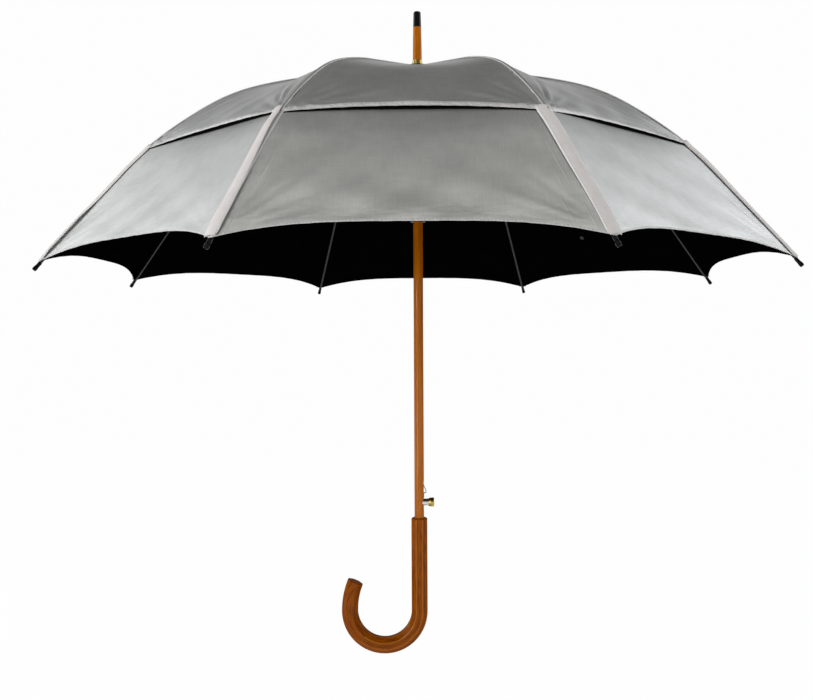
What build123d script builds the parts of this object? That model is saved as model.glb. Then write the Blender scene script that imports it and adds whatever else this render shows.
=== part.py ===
from build123d import *
from math import asin, atan2, cos, degrees, hypot, radians, sin, sqrt, tan
import os

# A long umbrella with a wooden shaft, a crook handle, a vented canopy on eight ribs and a
# push-button release. The origin is on the shaft's axis at the middle of the grip, +Z runs
# up the shaft, the crook bends towards -X and the release button points towards +X.
# Lengths are in millimetres and angles in degrees.

# ---------------------------------------------------------------- driving dimensions
running_clearance = 0.3    # between pieces that pass each other, and under the cloth
fit_clearance = 0.05       # between a piece and the seat that holds it

# Ribs. Each one runs straight from the notch, bends down and runs straight to its tip.
rib_count = 8
rib_length = 660.0         # along its line, from the notch's hinge to the middle of its tip
rib_inner_length = 163.0   # the straight part next to the notch
rib_inner_slope = 11.0     # below the level
rib_bend_radius = 485.0
rib_outer_slope = 49.2
rib_width = 3.6
rib_height = 3.6
rib_wall = 0.6
tang_thickness = 1.8       # flattened ends that enter the notch and the runners
rib_tang_length = 12.0
rib_tang_rise = 1.2        # from the rib's line up to the top edge of its flattened ends
rib_tang_lap = 6.0         # how far a flattened end runs on inside the channel
fold_angle = 58.7          # how far each rib turns between open and closed

# Rib tips
tip_length = 14.0
tip_diameter = 6.2
tip_neck_diameter = 5.2
tip_seat_depth = 4.5
tip_seat_offset = 2.0      # how much more of the tip lies beyond rib_length than before it
tip_bevel = 1.2            # at the rounded outer end
tip_swell_share = 0.25     # of the tip's length, past its middle, where it is thickest

# Pivots
pivot_circle_radius = 11.5  # hinge wires of the notch and of both runners
hinge_wire_diameter = 1.2
eye_radius = 2.4
eye_play = 0.2             # between a hinge wire and the eye it passes through
rivet_diameter = 1.8
rivet_head_diameter = 3.4
rivet_head_height = 0.6

# Stretchers, from the runner to the middle of each rib
rivet_distance = 325.0     # along the rib, from the notch's hinge to the rivet
stretcher_wall = 0.7
stretcher_depth_above = 3.0  # from the pivot line up to the back of the channel
stretcher_depth_below = 2.0
stretcher_eye_radius = 2.2
stretcher_tang_length = 10.0
stretcher_tang_lap = 5.0
stretcher_tang_depth = 3.6
fork_length = 14.0         # the part of the channel whose back is cut away for the rib

# Struts, from the lower runner to each stretcher
strut_seat_distance = 50.0  # runner pivot to the strut's rivet, along the stretcher
strut_length = 70.0
strut_height = 2.8
strut_eye_radius = 2.0
strut_nose_gap = 0.6       # between the end of a strut and the hinge wire it follows

# Shaft
shaft_diameter = 15.0
shaft_seat_depth = 60.0    # how far the shaft enters the handle
spike_base_diameter = 14.3
spike_top_diameter = 12.8
spike_length = 52.4
tenon_diameter = 8.0
tenon_length = 13.0

# Ferrule tip, collar and crown washer
ferrule_length = 24.8
ferrule_top_diameter = 11.4
ferrule_edge_radius = 2.2
collar_height = 8.4
collar_diameter = 16.0
collar_edge_radius = 0.2
washer_diameter = 34.0
washer_thickness = 1.0
washer_edge_radius = 0.6

# Notch and runners
comb_radius = 14.0
comb_slot_floor_radius = 8.9
comb_slot_width = 2.3
comb_depth = 3.4           # from the pivot circle down to the underside of the comb
comb_rise = 2.4            # from the pivot circle up to its top
groove_height = 1.5
notch_hub_radius = 10.4
notch_hub_height = 9.0
notch_pin_diameter = 2.0
runner_bore_clearance = 0.6
runner_sleeve_radius = 10.4
runner_sleeve_length = 6.6
lower_sleeve_bead_radius = 11.6
lower_sleeve_length = 23.4
latch_bar_height = 2.6

# Opening spring
spring_wire_diameter = 1.2
spring_mean_radius = 9.2
spring_turns = 5.5

# Handle
handle_top = 76.0
handle_straight_length = 145.5
handle_sides = 8
handle_flats = 25.0
handle_edge_radius = 2.4
handle_top_chamfer = 2.2
handle_end_radius = 1.8
hook_bend_radius = 55.0
hook_tip_bend_radius = 118.0
hook_tip_bend_angle = 22.4
handle_recess_radius = 9.6
handle_recess_depth = 2.0

# Release
button_above_handle = 24.5
button_edge_radius = 1.4
button_swell_share = 0.45  # of its length, where the flare ends
button_travel = 1.8
button_radius = 7.2
button_neck_radius = 6.3
button_length = 9.0
button_standoff = 7.1      # from the shaft's surface to the button's skirt
button_pin_radius = 3.0
button_nose_radius = 1.0   # end of the pin, which pushes the catch
housing_radius = 5.5
housing_overlap = 1.9      # how far the housing reaches into the button's skirt
catch_pivot_x = 3.0
catch_pivot_drop = 10.0    # below the button's axis
catch_thickness = 1.0
catch_width = 4.0
catch_step_height = 14.0   # button's axis to the latching face of the catch
catch_nose_reach = 3.8     # how far the catch stands out of the shaft
catch_nose_slope = 1.4     # rise of the latching face from the shaft to the nose
catch_nose_height = 2.2
catch_bend_height = 6.2    # button's axis to where the strip turns outward
catch_bend_rise = 1.8
catch_eye_wall = 0.9
catch_length_above = 30.5
catch_end_depth = 2.0      # how far the free end lies inside the shaft's surface
catch_pin_recess = 1.4
catch_slot_depth = 10.7    # from the shaft's surface
catch_slot_margin = 3.0    # beyond the catch at both ends of its slot
catch_pin_diameter = 1.6

# Canopy
canopy_thickness = 0.8
canopy_corner_setback = 3.0  # from the middle of a rib tip in to the corner of the cloth
lower_cloth_start = 341.0  # along the rib from the notch's hinge, under the vent
vent_length = 444.0        # along the rib from the notch's hinge to the vent's corner
rim_scallop = 11.0         # how far the hem bows in between two tips, in plan
vent_scallop = 7.0
seam_gap = 0.3
strap_width = 18.0

# ---------------------------------------------------------------- worked-out places
half_panel = 180.0 / rib_count
shaft_radius = shaft_diameter / 2
inner_slope = radians(rib_inner_slope)
outer_slope = radians(rib_outer_slope)
bend_end = rib_inner_length + rib_bend_radius * (outer_slope - inner_slope)


def rib_offset(distance, lift=0):
    """Run and rise from the notch's hinge to a place along a rib, at a lift above its line."""
    straight = min(distance, rib_inner_length)
    curved = min(max(distance - rib_inner_length, 0), bend_end - rib_inner_length)
    beyond = max(distance - bend_end, 0)
    slope = inner_slope + curved / rib_bend_radius
    run = straight * cos(inner_slope) + beyond * cos(outer_slope)
    run += rib_bend_radius * (sin(slope) - sin(inner_slope)) + lift * sin(slope)
    drop = straight * sin(inner_slope) + beyond * sin(outer_slope)
    drop += rib_bend_radius * (cos(inner_slope) - cos(slope)) - lift * cos(slope)
    return run, -drop


# The stretcher is as long as the rib's chord from the notch to its rivet, so the runner
# slides straight down the shaft as the ribs fold.
joint_run, joint_rise = rib_offset(rivet_distance)
stretcher_length = hypot(joint_run, joint_rise)
stretcher_angle = degrees(atan2(joint_run, -joint_rise))    # from the vertical
closed_stretcher_angle = stretcher_angle - fold_angle


def strut_angle(angle):
    """Angle of a strut from the vertical when its stretcher stands at the given angle."""
    return degrees(asin(strut_seat_distance * sin(radians(angle)) / strut_length))


def runner_gap(angle):
    """Distance between the hinge wires of the two runners at a stretcher angle."""
    drop = strut_length * cos(radians(strut_angle(angle)))
    return drop - strut_seat_distance * cos(radians(angle))


# From the handle up: the closed umbrella's lower runner is held by the catch, the runners
# and the notch follow from the links, and so does the length of the shaft.
button_height = handle_top + button_above_handle
latch_height = button_height + catch_step_height
closed_sleeve_bottom = latch_height - running_clearance - latch_bar_height
closed_lower_runner_z = closed_sleeve_bottom + lower_sleeve_length + comb_depth
closed_runner_z = closed_lower_runner_z + runner_gap(closed_stretcher_angle)
notch_z = closed_runner_z + 2 * stretcher_length * cos(radians(closed_stretcher_angle))
notch_r = pivot_circle_radius
runner_z = notch_z - 2 * stretcher_length * cos(radians(stretcher_angle))
lower_runner_z = runner_z - runner_gap(stretcher_angle)


def on_rib(distance, lift=0):
    """Point (r, z) of a rib's plane, at a distance along its line and a lift above it."""
    run, rise = rib_offset(distance, lift)
    return notch_r + run, notch_z + rise


joint_r, joint_z = on_rib(rivet_distance)
tip_r, tip_z = on_rib(rib_length)
strut_seat_r = notch_r + strut_seat_distance * sin(radians(stretcher_angle))
strut_seat_z = runner_z + strut_seat_distance * cos(radians(stretcher_angle))

# Lifts of the two layers of cloth above the line of the ribs
cloth_lift = eye_radius + running_clearance
vent_lift = cloth_lift + canopy_thickness + running_clearance
cloth_hole_radius = shaft_radius + 2 * running_clearance
crown_rise = (notch_r - cloth_hole_radius) * tan(inner_slope)
crown_top_z = notch_z + crown_rise + (vent_lift + canopy_thickness) / cos(inner_slope)
washer_top_z = crown_top_z + fit_clearance + washer_thickness
collar_top_z = washer_top_z + collar_height
spike_top_z = collar_top_z + spike_length
handle_bend_z = handle_top - handle_straight_length
bore_radius = shaft_radius + runner_bore_clearance


def azimuth(index):
    """Azimuth of a rib, from +X; ribs are counted round from the front right one."""
    return -90 + half_panel + index * 2 * half_panel


def rib_plane(index):
    """Upright plane through the axis and a rib: local x is outward and local y is up."""
    turn = radians(azimuth(index))
    return Plane(origin=(0, 0, 0), x_dir=(cos(turn), sin(turn), 0), z_dir=(sin(turn), -cos(turn), 0))


def level_plane(index, height):
    """Level plane whose local x points to the middle of a panel."""
    turn = radians(azimuth(index) + half_panel)
    return Plane(origin=(0, 0, height), x_dir=(cos(turn), sin(turn), 0), z_dir=(0, 0, 1))


def link_plane(index, start, angle):
    """Plane of a rib's linkage with its origin at start and local x at an angle from level."""
    base = rib_plane(index)
    along = base.x_dir * cos(radians(angle)) + base.y_dir * sin(radians(angle))
    return Plane(origin=base.from_local_coords(start), x_dir=along, z_dir=base.z_dir)


def follow_rib(lift, start, end):
    """Lines at a lift above a rib's own line, between two distances along it."""
    stops = [start] + [stop for stop in (rib_inner_length, bend_end) if start < stop < end] + [end]
    for near, far in zip(stops, stops[1:]):
        middle = (near + far) / 2
        if rib_inner_length < middle < bend_end:
            ThreePointArc(on_rib(near, lift), on_rib(middle, lift), on_rib(far, lift))
        else:
            Line(on_rib(near, lift), on_rib(far, lift))


def rib_band(low, high, start, end):
    """Face between two lifts above a rib's line and two distances along it."""
    with BuildLine() as outline:
        follow_rib(low, start, end)
        Line(on_rib(end, low), on_rib(end, high))
        follow_rib(high, start, end)
        Line(on_rib(start, low), on_rib(start, high))
    make_face(outline.edges())


def keep(part, name):
    """Label a finished piece and write its STEP file."""
    part.label = name
    export_step(part, f"parts/{name}.step")


os.makedirs("parts", exist_ok=True)

# ---------------------------------------------------------------- handle
with BuildPart() as handle:
    with BuildLine(Plane.XZ) as handle_line:
        Line((0, handle_top), (0, handle_bend_z))
        CenterArc((-hook_bend_radius, handle_bend_z), hook_bend_radius, 0, -180)
        CenterArc(
            (hook_tip_bend_radius - 2 * hook_bend_radius, handle_bend_z),
            hook_tip_bend_radius, 180, -hook_tip_bend_angle,
        )
    with BuildSketch(Plane.XY.offset(handle_top)) as handle_section:
        RegularPolygon(
            radius=handle_flats / 2,
            side_count=handle_sides,
            major_radius=False,
            rotation=180 / handle_sides,
        )
        fillet(handle_section.vertices(), handle_edge_radius)
    sweep(path=handle_line.wires()[0])
    hook_end = handle_line.wires()[0] @ 1
    chamfer(handle.faces().sort_by(Axis.Z)[-1].edges(), handle_top_chamfer)
    fillet(handle.faces().sort_by_distance(hook_end)[0].edges(), handle_end_radius)
    with BuildSketch(Plane.XY.offset(handle_top)):
        Circle(handle_recess_radius)
    extrude(amount=-handle_recess_depth, mode=Mode.SUBTRACT)
    with BuildSketch(Plane.XY.offset(handle_top)):
        Circle(shaft_radius + fit_clearance)
    extrude(amount=-shaft_seat_depth, mode=Mode.SUBTRACT)
keep(handle.part, "handle")

# ---------------------------------------------------------------- shaft
shaft_bottom = handle_top - shaft_seat_depth + fit_clearance
button_axis = Plane(origin=(0, 0, button_height), x_dir=(0, 1, 0), z_dir=(1, 0, 0))
housing_start = catch_pivot_x + catch_thickness + fit_clearance
notch_pin_z = notch_z - comb_depth - notch_hub_height / 2
catch_pivot_z = button_height - catch_pivot_drop

with BuildPart() as shaft:
    with BuildSketch(Plane.XZ):
        with BuildLine():
            Polyline(
                (0, shaft_bottom),
                (shaft_radius, shaft_bottom),
                (shaft_radius, washer_top_z),
                (spike_base_diameter / 2, washer_top_z),
                (spike_base_diameter / 2, collar_top_z),
                (spike_top_diameter / 2, spike_top_z),
                (tenon_diameter / 2, spike_top_z),
                (tenon_diameter / 2, spike_top_z + tenon_length),
                (0, spike_top_z + tenon_length),
                close=True,
            )
        make_face()
    revolve(axis=Axis.Z)
    # Slot for the catch, the seat of the release housing and the holes of both pins
    with BuildSketch(Plane.XZ):
        with Locations((shaft_radius, catch_pivot_z - catch_slot_margin)):
            Rectangle(
                2 * catch_slot_depth,
                catch_pivot_drop + catch_length_above + 2 * catch_slot_margin,
                align=(Align.CENTER, Align.MIN),
            )
    extrude(amount=catch_width / 2 + running_clearance, both=True, mode=Mode.SUBTRACT)
    with BuildSketch(button_axis.offset(housing_start)):
        Circle(housing_radius + fit_clearance)
    extrude(amount=shaft_radius, mode=Mode.SUBTRACT)
    with BuildSketch(Plane.XZ):
        with Locations((catch_pivot_x, catch_pivot_z)):
            Circle(catch_pin_diameter / 2)
        with Locations((0, notch_pin_z)):
            Circle(notch_pin_diameter / 2)
    extrude(amount=shaft_radius, both=True, mode=Mode.SUBTRACT)
keep(shaft.part, "shaft")

# ---------------------------------------------------------------- ferrule tip and collar
with BuildPart() as ferrule_tip:
    with BuildSketch(Plane.XZ) as ferrule_section:
        with BuildLine():
            Polyline(
                (tenon_diameter / 2 + fit_clearance, spike_top_z),
                (spike_top_diameter / 2, spike_top_z),
                (ferrule_top_diameter / 2, spike_top_z + ferrule_length),
                (0, spike_top_z + ferrule_length),
                (0, spike_top_z + tenon_length + fit_clearance),
                (tenon_diameter / 2 + fit_clearance, spike_top_z + tenon_length + fit_clearance),
                close=True,
            )
        make_face()
        rim = ferrule_section.vertices().group_by(Axis.Y)[-1].sort_by(Axis.X)[-1]
        fillet(rim, ferrule_edge_radius)
    revolve(axis=Axis.Z)
keep(ferrule_tip.part, "ferrule_tip")

with BuildPart() as ferrule_collar:
    with BuildSketch(Plane.XZ) as collar_section:
        with Locations((spike_base_diameter / 2 + fit_clearance, washer_top_z)):
            Rectangle(
                collar_diameter / 2 - spike_base_diameter / 2 - fit_clearance,
                collar_height,
                align=(Align.MIN, Align.MIN),
            )
    revolve(axis=Axis.Z)
    rims = ferrule_collar.edges().filter_by(GeomType.CIRCLE).group_by(SortBy.RADIUS)[-1]
    fillet(rims, collar_edge_radius)
keep(ferrule_collar.part, "ferrule_collar")

with BuildPart() as crown_washer:
    with BuildSketch(Plane.XY.offset(crown_top_z + fit_clearance)):
        Circle(washer_diameter / 2)
        Circle(shaft_radius + fit_clearance, mode=Mode.SUBTRACT)
    extrude(amount=washer_thickness)
    fillet(crown_washer.faces().sort_by(Axis.Z)[-1].edges().sort_by(SortBy.RADIUS)[-1], washer_edge_radius)
keep(crown_washer.part, "crown_washer")

# ---------------------------------------------------------------- notch, runners and their wires


def comb(pivot_z, inner_radius):
    """Slotted ring that takes the flattened ends of a set of ribs, stretchers or struts."""
    with BuildSketch(Plane.XY.offset(pivot_z - comb_depth)) as disc:
        Circle(comb_radius)
        Circle(inner_radius, mode=Mode.SUBTRACT)
    extrude(disc.sketch, amount=comb_depth + comb_rise)


def comb_cuts(pivot_z):
    """The slots of a comb, and the groove that its hinge wire lies in."""
    slot_depth = 2 * (comb_radius - comb_slot_floor_radius)
    with BuildSketch(Plane.XY.offset(pivot_z - comb_depth)) as slots:
        with PolarLocations(comb_slot_floor_radius + slot_depth / 2, rib_count, azimuth(0)):
            Rectangle(slot_depth, comb_slot_width)
    extrude(slots.sketch, amount=comb_depth + comb_rise, mode=Mode.SUBTRACT)
    groove_floor = pivot_circle_radius - hinge_wire_diameter / 2 - fit_clearance
    with BuildSketch(Plane.XY.offset(pivot_z - groove_height / 2)) as groove:
        Circle(comb_radius)
        Circle(groove_floor, mode=Mode.SUBTRACT)
    extrude(groove.sketch, amount=groove_height, mode=Mode.SUBTRACT)


def hinge_wire(pivot_z):
    """Ring of wire through the eyes of a comb."""
    with BuildSketch(Plane.XZ) as wire_section:
        with Locations((pivot_circle_radius, pivot_z)):
            Circle(hinge_wire_diameter / 2)
    revolve(wire_section.sketch, axis=Axis.Z)


with BuildPart() as top_notch:
    comb(notch_z, shaft_radius + fit_clearance)
    with BuildSketch(Plane.XY.offset(notch_z - comb_depth)):
        Circle(notch_hub_radius)
        Circle(shaft_radius + fit_clearance, mode=Mode.SUBTRACT)
    extrude(amount=-notch_hub_height)
    comb_cuts(notch_z)
    with BuildSketch(Plane.XZ):
        with Locations((0, notch_pin_z)):
            Circle(notch_pin_diameter / 2)
    extrude(amount=comb_radius, both=True, mode=Mode.SUBTRACT)
keep(top_notch.part, "top_notch")

with BuildPart() as notch_wire:
    hinge_wire(notch_z)
keep(notch_wire.part, "notch_wire")

with BuildPart() as notch_pin:
    with BuildSketch(Plane.XZ):
        with Locations((0, notch_pin_z)):
            Circle(notch_pin_diameter / 2 - fit_clearance)
    extrude(amount=notch_hub_radius, both=True)
keep(notch_pin.part, "notch_pin")

with BuildPart() as runner:
    comb(runner_z, bore_radius)
    with BuildSketch(Plane.XY.offset(runner_z - comb_depth)):
        Circle(runner_sleeve_radius)
        Circle(bore_radius, mode=Mode.SUBTRACT)
    extrude(amount=-runner_sleeve_length)
    comb_cuts(runner_z)
keep(runner.part, "runner")

with BuildPart() as runner_wire:
    hinge_wire(runner_z)
keep(runner_wire.part, "runner_wire")

# The window in the lower runner's sleeve closes over the catch.
sleeve_top = lower_runner_z - comb_depth
sleeve_bottom = sleeve_top - lower_sleeve_length
window_bottom = sleeve_bottom + latch_bar_height
window_height = catch_length_above - catch_step_height + 2 * running_clearance

with BuildPart() as lower_runner:
    comb(lower_runner_z, bore_radius)
    with BuildSketch(Plane.XY.offset(sleeve_top)):
        Circle(runner_sleeve_radius)
        Circle(bore_radius, mode=Mode.SUBTRACT)
    extrude(amount=-lower_sleeve_length)
    with BuildSketch(Plane.XY.offset(sleeve_bottom)):
        Circle(lower_sleeve_bead_radius)
        Circle(bore_radius, mode=Mode.SUBTRACT)
    extrude(amount=latch_bar_height)
    comb_cuts(lower_runner_z)
    with BuildSketch(Plane.XZ):
        with Locations((0, window_bottom)):
            Rectangle(2 * comb_radius, window_height, align=(Align.MIN, Align.MIN))
    extrude(amount=catch_width / 2 + 2 * running_clearance, both=True, mode=Mode.SUBTRACT)
keep(lower_runner.part, "lower_runner")

with BuildPart() as lower_runner_wire:
    hinge_wire(lower_runner_z)
keep(lower_runner_wire.part, "lower_runner_wire")

# ---------------------------------------------------------------- opening spring
spring_top = runner_z - comb_depth - runner_sleeve_length - running_clearance
spring_bottom = lower_runner_z + comb_rise + running_clearance
spring_rise = spring_top - spring_bottom - spring_wire_diameter

with BuildPart() as opening_spring:
    with BuildLine(Plane.XY.offset(spring_bottom + spring_wire_diameter / 2)) as coil:
        Helix(pitch=spring_rise / spring_turns, height=spring_rise, radius=spring_mean_radius)
    with BuildSketch(Plane(origin=coil.line @ 0, z_dir=coil.line % 0)):
        Circle(spring_wire_diameter / 2)
    sweep(path=coil.line, is_frenet=True)
keep(opening_spring.part, "opening_spring")

# ---------------------------------------------------------------- release
skirt_start = shaft_radius + button_standoff
housing_end = skirt_start + housing_overlap
skirt_floor = housing_end + button_travel + fit_clearance
button_end = skirt_start + button_length
nose_start = catch_pivot_x + catch_thickness / 2 + running_clearance
shoulder_start = nose_start + button_travel + 2 * running_clearance

with BuildPart() as release_housing:
    with BuildSketch(button_axis.offset(housing_start)):
        Circle(housing_radius)
        Circle(button_pin_radius + fit_clearance, mode=Mode.SUBTRACT)
    extrude(amount=housing_end - housing_start)
keep(release_housing.part, "release_housing")

with BuildPart() as release_button:
    with BuildSketch(Plane.XZ) as button_section:
        with BuildLine():
            Polyline(
                (housing_radius + fit_clearance, skirt_start),
                (button_neck_radius, skirt_start),
                (button_radius, skirt_start + button_length * button_swell_share),
                (button_radius, button_end),
                (0, button_end),
                (0, nose_start),
                (button_nose_radius, nose_start),
                (button_nose_radius, shoulder_start),
                (button_pin_radius, shoulder_start),
                (button_pin_radius, skirt_floor),
                (housing_radius + fit_clearance, skirt_floor),
                close=True,
            )
        make_face()
        rim = button_section.vertices().group_by(Axis.Y)[-1].sort_by(Axis.X)[-1]
        fillet(rim, button_edge_radius)
    revolve(axis=Axis.Z)
button_place = Location((0, 0, button_height), (0, 90, 0))
keep(button_place * release_button.part, "release_button")

# A leaf spring that lies in the slot, bends out to the latching face and returns inside.
# Its outer face has a corner at each of these places, and its inner face follows it.
catch_face = sqrt((bore_radius - running_clearance / 2) ** 2 - (catch_width / 2) ** 2)
catch_nose = shaft_radius + catch_nose_reach
catch_end_x = shaft_radius - catch_end_depth
catch_end_z = button_height + catch_length_above
nose_bottom_z = latch_height + catch_nose_slope
nose_top_z = nose_bottom_z + catch_nose_height

with BuildPart() as catch:
    with BuildSketch(Plane.XZ):
        with BuildLine():
            Polyline(
                (catch_pivot_x, catch_pivot_z),
                (catch_pivot_x, button_height + catch_bend_height),
                (catch_face - catch_thickness / 2, button_height + catch_bend_height + catch_bend_rise),
                (catch_face - catch_thickness / 2, latch_height),
                (catch_nose - catch_thickness / 2, nose_bottom_z),
                (catch_nose - catch_thickness / 2, nose_top_z),
                (catch_end_x, catch_end_z),
            )
        trace(line_width=catch_thickness)
        with Locations((catch_pivot_x, catch_pivot_z)):
            Circle(catch_pin_diameter / 2 + catch_eye_wall)
            Circle(catch_pin_diameter / 2 + fit_clearance, mode=Mode.SUBTRACT)
    extrude(amount=catch_width / 2, both=True)
keep(catch.part, "catch")

with BuildPart() as catch_pin:
    with BuildSketch(Plane.XZ):
        with Locations((catch_pivot_x, catch_pivot_z)):
            Circle(catch_pin_diameter / 2)
    extrude(amount=shaft_radius - catch_pin_recess, both=True)
keep(catch_pin.part, "catch_pin")

# ---------------------------------------------------------------- ribs and their tips
# The tip is threaded on the rib's flattened end and butts against the channel.
rib_top = rib_height / 2
rib_bottom = -rib_height / 2
tip_reach = (tip_length + tip_seat_offset) / 2
channel_end = rib_length + tip_reach - tip_length - running_clearance
outer_tang_start = channel_end - rib_tang_lap
outer_tang_end = channel_end + tip_seat_depth

for index in range(rib_count):
    with BuildPart() as rib:
        with BuildSketch(rib_plane(index)):
            rib_band(rib_bottom, rib_top, rib_tang_length, channel_end)
        extrude(amount=rib_width / 2, both=True)
        with BuildSketch(rib_plane(index)):
            rib_band(rib_bottom + rib_wall, rib_top, rib_tang_length, channel_end)
        extrude(amount=rib_width / 2 - rib_wall, both=True, mode=Mode.SUBTRACT)
        with BuildSketch(rib_plane(index)):
            rib_band(rib_bottom, rib_tang_rise, 0, rib_tang_length + rib_tang_lap)
            rib_band(rib_bottom, rib_tang_rise, outer_tang_start, outer_tang_end)
            with Locations((notch_r, notch_z)):
                Circle(eye_radius)
                Circle(hinge_wire_diameter / 2 + eye_play, mode=Mode.SUBTRACT)
        extrude(amount=tang_thickness / 2, both=True)
        with BuildSketch(rib_plane(index)):
            with Locations((joint_r, joint_z)):
                Circle(rivet_diameter / 2 + fit_clearance)
        extrude(amount=rib_width, both=True, mode=Mode.SUBTRACT)
    keep(rib.part, f"rib_{index + 1}")

for index in range(rib_count):
    axis_plane = link_plane(index, (tip_r, tip_z, 0), -rib_outer_slope)
    with BuildPart() as rib_tip:
        with BuildSketch(axis_plane):
            with BuildLine():
                Polyline(
                    (tip_reach - tip_length, 0),
                    (tip_reach - tip_length, tip_neck_diameter / 2),
                    (0, tip_neck_diameter / 2),
                    (tip_length * tip_swell_share, tip_diameter / 2),
                    (tip_reach - tip_bevel, tip_diameter / 2),
                    (tip_reach, tip_diameter / 2 - tip_bevel),
                    (tip_reach, 0),
                    close=True,
                )
            make_face()
        revolve(axis=Axis(axis_plane.origin, axis_plane.x_dir))
        with BuildSketch(rib_plane(index)):
            rib_band(
                rib_bottom - fit_clearance,
                rib_tang_rise + fit_clearance,
                outer_tang_start,
                outer_tang_end + running_clearance,
            )
        extrude(amount=tang_thickness / 2 + fit_clearance, both=True, mode=Mode.SUBTRACT)
    keep(rib_tip.part, f"rib_tip_{index + 1}")

# ---------------------------------------------------------------- stretchers and struts
channel_width = rib_width + 2 * running_clearance + 2 * stretcher_wall
fork_start = stretcher_length - fork_length
tang_end = stretcher_tang_length + stretcher_tang_lap
cut_depth = 2 * (stretcher_depth_above + stretcher_eye_radius)

for index in range(rib_count):
    link = link_plane(index, (notch_r, runner_z, 0), 90 - stretcher_angle)
    with BuildPart() as stretcher:
        with BuildSketch(link):
            with Locations((stretcher_tang_length, -stretcher_depth_below)):
                Rectangle(
                    stretcher_length - stretcher_tang_length,
                    stretcher_depth_above + stretcher_depth_below,
                    align=(Align.MIN, Align.MIN),
                )
            with Locations((stretcher_length, 0)):
                Circle(stretcher_eye_radius)
        extrude(amount=channel_width / 2, both=True)
        with BuildSketch(link):
            with Locations((stretcher_tang_length, stretcher_depth_above - stretcher_wall)):
                Rectangle(stretcher_length, cut_depth, align=(Align.MIN, Align.MAX))
            with Locations((fork_start, 0)):
                Rectangle(2 * fork_length, cut_depth, align=(Align.MIN, Align.CENTER))
        extrude(amount=channel_width / 2 - stretcher_wall, both=True, mode=Mode.SUBTRACT)
        with BuildSketch(link):
            with BuildLine():
                Polyline(
                    (0, -stretcher_eye_radius),
                    (tang_end, stretcher_depth_above - stretcher_tang_depth),
                    (tang_end, stretcher_depth_above),
                    (stretcher_tang_length, stretcher_depth_above),
                    (0, stretcher_eye_radius),
                    close=True,
                )
            make_face()
            Circle(stretcher_eye_radius)
            Circle(hinge_wire_diameter / 2 + eye_play, mode=Mode.SUBTRACT)
        extrude(amount=tang_thickness / 2, both=True)
        with BuildSketch(link):
            with Locations((stretcher_length, 0), (strut_seat_distance, 0)):
                Circle(rivet_diameter / 2)
        extrude(amount=channel_width, both=True, mode=Mode.SUBTRACT)
        with BuildSketch(link):
            with Locations((stretcher_length, 0), (strut_seat_distance, 0)):
                Circle(rivet_diameter / 2 - fit_clearance / 2)
        extrude(amount=channel_width / 2 + rivet_head_height, both=True)
        for side in (-1, 1):
            head_start = side * channel_width / 2
            with BuildSketch(link.offset(head_start)):
                with Locations((stretcher_length, 0), (strut_seat_distance, 0)):
                    Circle(rivet_head_diameter / 2)
            extrude(amount=side * rivet_head_height)
    keep(stretcher.part, f"stretcher_{index + 1}")

strut_lean = strut_angle(stretcher_angle)
strut_reach = strut_length - hinge_wire_diameter / 2 - strut_nose_gap
for index in range(rib_count):
    link = link_plane(index, (strut_seat_r, strut_seat_z, 0), -90 - strut_lean)
    with BuildPart() as strut:
        with BuildSketch(link):
            Rectangle(strut_reach, strut_height, align=(Align.MIN, Align.CENTER))
            Circle(strut_eye_radius)
            Circle(rivet_diameter / 2 + fit_clearance, mode=Mode.SUBTRACT)
        extrude(amount=tang_thickness / 2, both=True)
    keep(strut.part, f"strut_{index + 1}")

# ---------------------------------------------------------------- canopy
canopy_corner_radius = tip_r - canopy_corner_setback
vent_corner_radius = on_rib(vent_length)[0]
wedge_apex = seam_gap / 2 / sin(radians(half_panel))
far = 2 * tip_r


def cloth_panel(index, lift, start, end):
    """Sheet stretched flat between two neighbouring ribs."""
    sections = []
    for side in (index, index + 1):
        with BuildSketch(rib_plane(side)) as section:
            rib_band(lift, lift + canopy_thickness, start, end)
        sections.append(section.sketch)
    loft(sections, ruled=True)


def trim_cloth(index, corner_radius, scallop):
    """Cut a panel to a wedge between two ribs whose outer side bows in as a shallow arc."""
    half_chord = corner_radius * sin(radians(half_panel))
    middle = corner_radius * cos(radians(half_panel)) - scallop
    bow_radius = (half_chord**2 + scallop**2) / (2 * scallop)
    with BuildSketch(level_plane(index, 0)) as outline:
        Polygon(
            (wedge_apex, 0),
            (wedge_apex + far, -far * tan(radians(half_panel))),
            (wedge_apex + far, far * tan(radians(half_panel))),
            align=None,
        )
        with Locations((middle + bow_radius, 0)):
            Circle(bow_radius, mode=Mode.SUBTRACT)
        Circle(cloth_hole_radius, mode=Mode.SUBTRACT)
    extrude(outline.sketch, amount=far, mode=Mode.INTERSECT)


for index in range(rib_count):
    with BuildPart() as lower_cloth:
        cloth_panel(index, cloth_lift, lower_cloth_start, rib_length)
        trim_cloth(index, canopy_corner_radius, rim_scallop)
    with BuildPart() as vent_cloth:
        cloth_panel(index, vent_lift, -notch_r / 2, vent_length)
        trim_cloth(index, vent_corner_radius, vent_scallop)
    with BuildPart() as strap:
        with BuildSketch(rib_plane(index)):
            rib_band(
                vent_lift,
                vent_lift + canopy_thickness,
                vent_length + running_clearance,
                channel_end,
            )
        extrude(amount=strap_width / 2, both=True)
    cloth = Compound(children=[lower_cloth.part, vent_cloth.part, strap.part])
    keep(cloth, f"canopy_panel_{index + 1}")
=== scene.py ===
from math import asin, atan2, cos, exp, hypot, pi, radians, sin

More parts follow.
